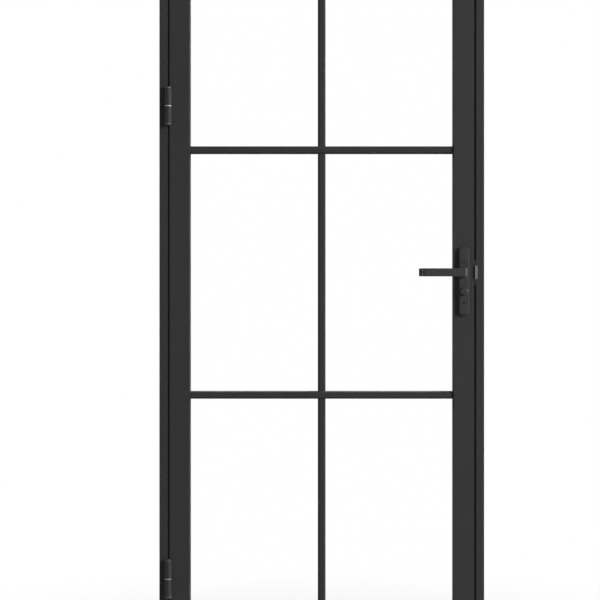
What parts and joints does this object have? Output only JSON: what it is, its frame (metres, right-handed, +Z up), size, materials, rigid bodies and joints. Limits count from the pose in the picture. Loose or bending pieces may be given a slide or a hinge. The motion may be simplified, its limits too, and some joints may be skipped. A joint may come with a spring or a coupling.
{
  "type": "aluminium glass door with frame",
  "caption": "Single hinged glass door in a slim black aluminium frame, panes divided by narrow glazing bars, lever handles on long plates.",
  "frame": {"origin": "centre of the sill's flat underside, in width and in depth", "axes": "+X to the right with the hinges on the left, -Y out of the face that the leaf opens towards, +Z up"},
  "size_m": [0.874, 0.151, 2.129],
  "materials": {
    "black_aluminium": "satin black powder coat with a very fine orange peel",
    "black_hardware": "satin black hardware finish, a little smoother than the profiles",
    "bright_steel": "bright brushed steel",
    "clear_glass": "clear toughened glass",
    "black_rubber": "matt black sealing rubber"
  },
  "bodies": {
    "frame": {"jamb_hinge_side": "black_aluminium", "jamb_lock_side": "black_aluminium", "head": "black_aluminium", "sill": "black_aluminium", "gasket_jamb_hinge_side": "black_rubber", "gasket_jamb_lock_side": "black_rubber", "gasket_head": "black_rubber", "gasket_sill": "black_rubber", "strike_keep": "black_hardware", "hinge_bottom_frame_half": "black_hardware", "hinge_bottom_washer": "bright_steel", "hinge_middle_frame_half": "black_hardware", "hinge_middle_washer": "bright_steel", "hinge_top_frame_half": "black_hardware", "hinge_top_washer": "bright_steel"},
    "leaf": {"stile_hinge_side": "black_aluminium", "stile_lock_side": "black_aluminium", "top_rail": "black_aluminium", "bottom_rail": "black_aluminium", "cross_bar_lower": "black_aluminium", "cross_bar_upper": "black_aluminium", "upright_bar_bottom": "black_aluminium", "upright_bar_middle": "black_aluminium", "upright_bar_top": "black_aluminium", "glass_bottom_left": "clear_glass", "glass_bottom_right": "clear_glass", "glass_middle_left": "clear_glass", "glass_middle_right": "clear_glass", "glass_top_left": "clear_glass", "glass_top_right": "clear_glass", "hinge_bottom_leaf_half": "black_hardware", "hinge_middle_leaf_half": "black_hardware", "hinge_top_leaf_half": "black_hardware", "backplate_front": "black_hardware", "backplate_rear": "black_hardware", "cylinder_front": "black_hardware", "cylinder_rear": "black_hardware", "lock_faceplate": "bright_steel", "latch_bolt": "bright_steel"},
    "lever": {"lever_front": "black_hardware", "lever_rear": "black_hardware", "lever_spindle": "bright_steel"}
  },
  "joints": [
    {"name": "door_swing", "type": "hinge", "parent": "frame", "child": "leaf", "pos_m": [-0.4125, -0.0405, 0], "axis": [0, 0, -1], "range_deg": [0, 110]},
    {"name": "lever_turn", "type": "hinge", "parent": "leaf", "child": "lever", "pos_m": [0.3824, -0.03, 1.065], "axis": [0, -1, 0], "range_deg": [0, 40], "stiffness_Nm_per_rad": 1.5, "springref_deg": -28.65}
  ]
}
